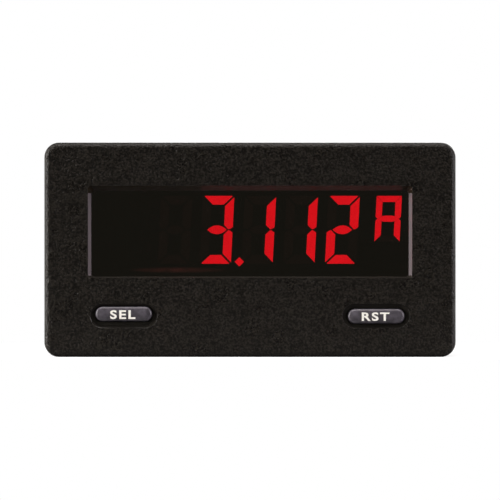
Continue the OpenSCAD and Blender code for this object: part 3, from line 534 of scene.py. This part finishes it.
def screw(
    name, node, body, base, axes, length, head, shank_r, head_r, slot_w, slot_d, pitch
):
    """A slotted screw with a cut thread, from its point at base along the third axis."""
    across, beside, along = (Vector(a) for a in axes)
    shank = length - head
    point, point_in, bevel, overlap = 0.2 * MM, 0.15 * MM, 0.18 * MM, 0.01 * MM
    thread_depth, half_root, half_crest = 0.55 * pitch, 0.48 * pitch, 0.09 * pitch
    ends, least, sunk = 1.2 * pitch, 0.02, 0.05 * MM
    disc_steps, thread_steps, half_steps = 48, 20, 24

    def place(radius, turn, height):
        around = across * (radius * math.cos(turn)) + beside * (radius * math.sin(turn))
        return Vector(base) + around + along * height

    def disc(radius, height):
        return [
            place(radius, 2 * math.pi * k / disc_steps, height) for k in range(disc_steps)
        ]

    shell = Shell()
    root_r = shank_r - thread_depth
    shell.loft([disc(root_r - point_in, 0), disc(root_r, point), disc(root_r, shank)])

    # the thread's ridge winds round the core, stays clear of both its ends, and grows and fades
    # over its first and last turn
    ridge = []
    total = int((shank - point - ends) / pitch * thread_steps)
    for k in range(total + 1):
        turn = 2 * math.pi * k / thread_steps
        height = point + ends / 2 + pitch * k / thread_steps
        grown = min(1, k / thread_steps, (total - k) / thread_steps)
        crest_r = root_r + (shank_r - root_r) * max(least, grown)
        ridge.append([
            place(root_r - sunk, turn, height - half_root),
            place(crest_r, turn, height - half_crest),
            place(crest_r, turn, height + half_crest),
            place(root_r - sunk, turn, height + half_root),
        ])
    shell.loft(ridge)

    # the head: a disc up to the slot's floor, and a half of the rest on each side of the slot
    floor_at = shank + head - slot_d
    shell.loft([
        disc(head_r - bevel / 2, shank), disc(head_r, shank + bevel / 2), disc(head_r, floor_at),
    ])
    for side in (0, math.pi):
        rings = []
        for radius, height in (
            (head_r, floor_at - overlap),
            (head_r, shank + head - bevel),
            (head_r - bevel, shank + head),
        ):
            open_by = math.asin(slot_w / 2 / radius)
            arc = math.pi - 2 * open_by
            rings.append([
                place(radius, side + open_by + arc * k / half_steps, height)
                for k in range(half_steps + 1)
            ])
        shell.loft(rings)
    made_piece(name, shell.mesh(name), body, "screw_steel", stands_for=node)


key_cap("sel_button", "sel_key")
key_cap("rst_button", "rst_key")
key_label(
    "sel_button", "sel_key", "SEL", shift=(-0.17 * MM, -0.11 * MM), size=(4.6 * MM, 1.62 * MM)
)
key_label(
    "rst_button", "rst_key", "RST", shift=(-0.13 * MM, -0.08 * MM), size=(5.04 * MM, 1.56 * MM)
)

for side in ("left", "right"):
    low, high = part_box("jack_screw_" + side)
    screw(
        side + "_jack_thread", "jack_screw_" + side, side + "_jack",
        base=((low.x + high.x) / 2, low.y, (low.z + high.z) / 2), axes=(UP, RIGHT, BACK),
        length=high.y - low.y, head=1.6 * MM, shank_r=1.25 * MM, head_r=(high.x - low.x) / 2,
        slot_w=0.7 * MM, slot_d=0.8 * MM, pitch=0.5 * MM,
    )

POLES = 6
COVER_STEP_Y, NUMBERS_Z = 36.1 * MM, 4.3 * MM
for i in range(1, POLES + 1):
    low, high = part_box("terminal_screw_%d" % i)
    screw(
        "terminal_thread_%d" % i, "terminal_screw_%d" % i, "screw_%d" % i,
        base=((low.x + high.x) / 2, (low.y + high.y) / 2, low.z), axes=(RIGHT, BACK, UP),
        length=high.z - low.z, head=1.2 * MM, shank_r=1.2 * MM, head_r=(high.x - low.x) / 2,
        slot_w=0.5 * MM, slot_d=0.6 * MM, pitch=0.45 * MM,
    )
    # pole numbers in relief on the cover above the terminals, 1 on the left seen from behind
    pole = POLES + 1 - i
    lettering(
        "pole_number_%d" % pole, str(pole), ((low.x + high.x) / 2, COVER_STEP_Y, NUMBERS_Z),
        size=((0.62 if pole == 1 else 1.15) * MM, 1.8 * MM), right=LEFT, depth=0.15 * MM,
        weight=0.01, body="housing", slot="case_plastic", surface=SURFACES["clip_plastic"],
    )


# ---- stage ----

def softbox(name, place, size, energy, tint=(1, 1, 1), aim=(0, 0, 0)):
    lamp = bpy.data.lights.new(name, "AREA")
    lamp.shape = "RECTANGLE"
    lamp.size, lamp.size_y = size
    lamp.energy = energy
    lamp.color = tint
    held = bpy.data.objects.new(name, lamp)
    bpy.context.scene.collection.objects.link(held)
    held.location = place
    held.rotation_euler = (Vector(aim) - Vector(place)).to_track_quat("-Z", "Y").to_euler()
    return held


# the lamps beside the meter stand almost in its plane, so that they light its rounded edges
softbox("left_softbox", (-0.85, -0.17, 0.16), (0.35, 0.6), energy=17.5, tint=(1, 0.97, 0.94))
softbox("right_softbox", (0.86, -0.17, 0.14), (0.3, 0.55), energy=8.0, tint=(1, 0.95, 1))
softbox("top_softbox", (0.0, -0.2, 0.85), (0.9, 0.35), energy=11.0, tint=(1, 0.95, 0.93))
softbox("rear_softbox", (0.3, 0.95, 0.3), (0.7, 0.5), energy=5.0)

# what the lit digits throw on the polished slope above them, which no lamp ray gets through the
# pane to show
low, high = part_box("lcd_lit_segments")
glow_at = ((low.x + high.x) / 2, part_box("window")[0].y - 0.05 * MM, (low.z + high.z) / 2)
display_glow = softbox(
    "display_glow", glow_at, (high.x - low.x, high.z - low.z), energy=0.0008,
    tint=(1, 0.28, 0.3), aim=(glow_at[0], -1, glow_at[2]),
)
display_glow.visible_camera = False


def grey(level):
    return (level, level, level, 1)


def pale_floor():
    """A pale floor that keeps a soft shadow near the meter, and fades to white away from it.

    The camera sees it so, and behind the bezel so do gloss and glass. As light it is darker."""
    made = bpy.data.materials.new("floor_white")
    made.use_nodes = True
    made.node_tree.nodes.clear()
    tree = Nodes(made.node_tree)
    path = tree.add("ShaderNodeLightPath").outputs
    place = tree.add("ShaderNodeTexCoord").outputs["Object"]
    behind = tree.math("GREATER_THAN", tree.along(Y, place), 0)
    tone = tree.mix(behind, grey(0.28), grey(0.55))
    darker = tree.add("ShaderNodeBsdfDiffuse", {"Color": tone}).outputs[0]
    pale = tree.add("ShaderNodeBsdfDiffuse", {"Color": grey(0.9)}).outputs[0]
    white = tree.add("ShaderNodeEmission").outputs[0]
    faded = tree.mapped(tree.length(place), 0.7, 1.0, from_low=50 * MM, from_high=160 * MM)
    mirrored = tree.math("MAXIMUM", path["Is Glossy Ray"], path["Is Transmission Ray"])
    seen = tree.math("MAXIMUM", path["Is Camera Ray"], tree.product(mirrored, behind))
    shown = tree.mix_shaders(seen, darker, tree.mix_shaders(faded, pale, white))
    tree.add("ShaderNodeOutputMaterial", {"Surface": shown})
    return made


FLOOR_REACH, FLOOR_FRONT = 2.0, -0.022
floor_mesh = bpy.data.meshes.new("floor")
floor_mesh.from_pydata(
    [
        (-FLOOR_REACH, FLOOR_FRONT, 0), (FLOOR_REACH, FLOOR_FRONT, 0),
        (FLOOR_REACH, FLOOR_REACH, 0), (-FLOOR_REACH, FLOOR_REACH, 0),
    ],
    [], [(0, 1, 2, 3)],
)
floor = bpy.data.objects.new("floor", floor_mesh)
floor.location.z = cad_low.z
bpy.context.scene.collection.objects.link(floor)
floor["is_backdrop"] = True
floor_mesh.materials.append(pale_floor())


def studio():
    """White behind everything the camera sees.

    In gloss, in glass and as light it is white behind the meter and dark in front of it."""
    world = bpy.data.worlds.new("studio")
    bpy.context.scene.world = world
    world.use_nodes = True
    world.node_tree.nodes.clear()
    tree = Nodes(world.node_tree)
    path = tree.add("ShaderNodeLightPath").outputs
    place = tree.add("ShaderNodeTexCoord").outputs["Generated"]
    front_to_back = tree.math("MULTIPLY_ADD", tree.along(Y, place), 0.5, 0.5)

    def backdrop(levels, strength=1.0):
        """A background whose level runs from the front of the room, 0, to its back, 1."""
        stops = [(position, (level, level, level)) for position, level in levels]
        return tree.add("ShaderNodeBackground", {
            "Color": tree.ramp(front_to_back, stops), "Strength": strength,
        }).outputs[0]

    room = ((0.3, 0.036), (0.85, 1.0))
    gloss_room = ((0.3, 0.02), (0.8, 0.05), (0.95, 0.14), (0.995, 1.0))
    shown = backdrop(room, strength=0.6)
    for ray, seen in (
        ("Is Transmission Ray", backdrop(room)),
        ("Is Glossy Ray", backdrop(gloss_room)),
        ("Is Camera Ray", tree.add("ShaderNodeBackground", {"Color": WHITE}).outputs[0]),
    ):
        shown = tree.mix_shaders(path[ray], shown, seen)
    tree.add("ShaderNodeOutputWorld", {"Surface": shown})


studio()

# the camera faces the bezel squarely, and its frame is SEEN_WIDTH wide at the keys' front
DISTANCE, SENSOR = 1.0, 36.0
SEEN_WIDTH, CAMERA_Z = 91.05 * MM, -0.045 * MM
camera_data = bpy.data.cameras.new("camera")
camera_data.sensor_width = SENSOR
camera_data.lens = SENSOR * DISTANCE / SEEN_WIDTH
camera_data.clip_start = 0.05
camera_data.clip_end = 20.0
camera = bpy.data.objects.new("camera", camera_data)
camera.location = (0, cad_low.y - DISTANCE, CAMERA_Z)
camera.rotation_euler = (math.radians(90), 0, 0)
bpy.context.scene.collection.objects.link(camera)
bpy.context.scene.camera = camera
bpy.context.scene.view_settings.view_transform = "Standard"

low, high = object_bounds()
